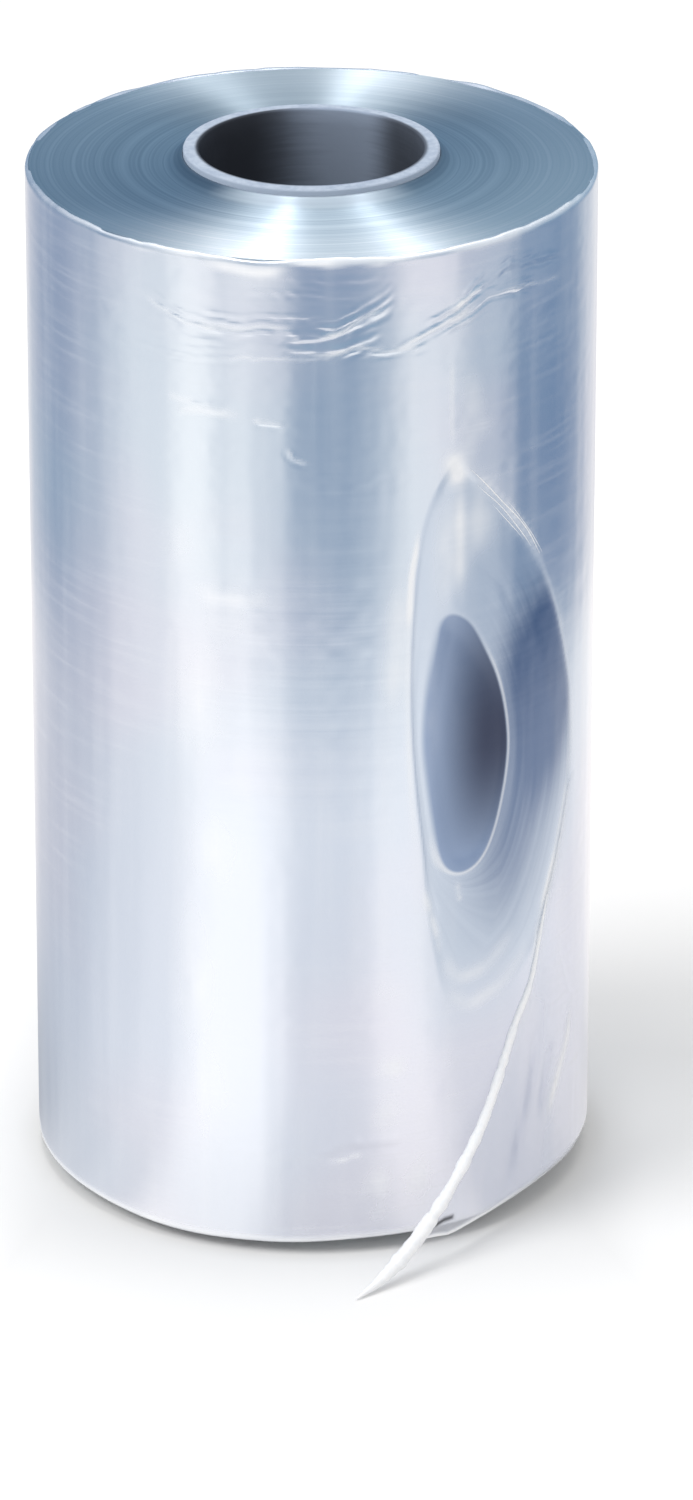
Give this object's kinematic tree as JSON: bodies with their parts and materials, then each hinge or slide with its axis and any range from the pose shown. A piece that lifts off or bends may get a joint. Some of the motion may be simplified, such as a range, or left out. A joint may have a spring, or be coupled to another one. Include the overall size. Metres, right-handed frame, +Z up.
{
  "type": "shrink wrap roll",
  "caption": "Roll of clear shrink wrap film wound on a paperboard core, standing on end, with a torn window in its outer turns and a loose pointed end that trails to the ground.",
  "frame": {"origin": "on the core's axis, at the end of the core that the roll stands on", "axes": "+Z up along the core's axis; -Y is the front, the side that the loose end trails towards"},
  "size_m": [0.194, 0.2285, 0.37],
  "materials": {
    "paperboard": "smooth grey paperboard, cut square, faint spiral seam",
    "clear_film": "glossy clear plastic film in many tight turns, silvery blue-grey"
  },
  "bodies": {
    "root": {"core": "paperboard", "film": "clear_film"}
  },
  "joints": []
}
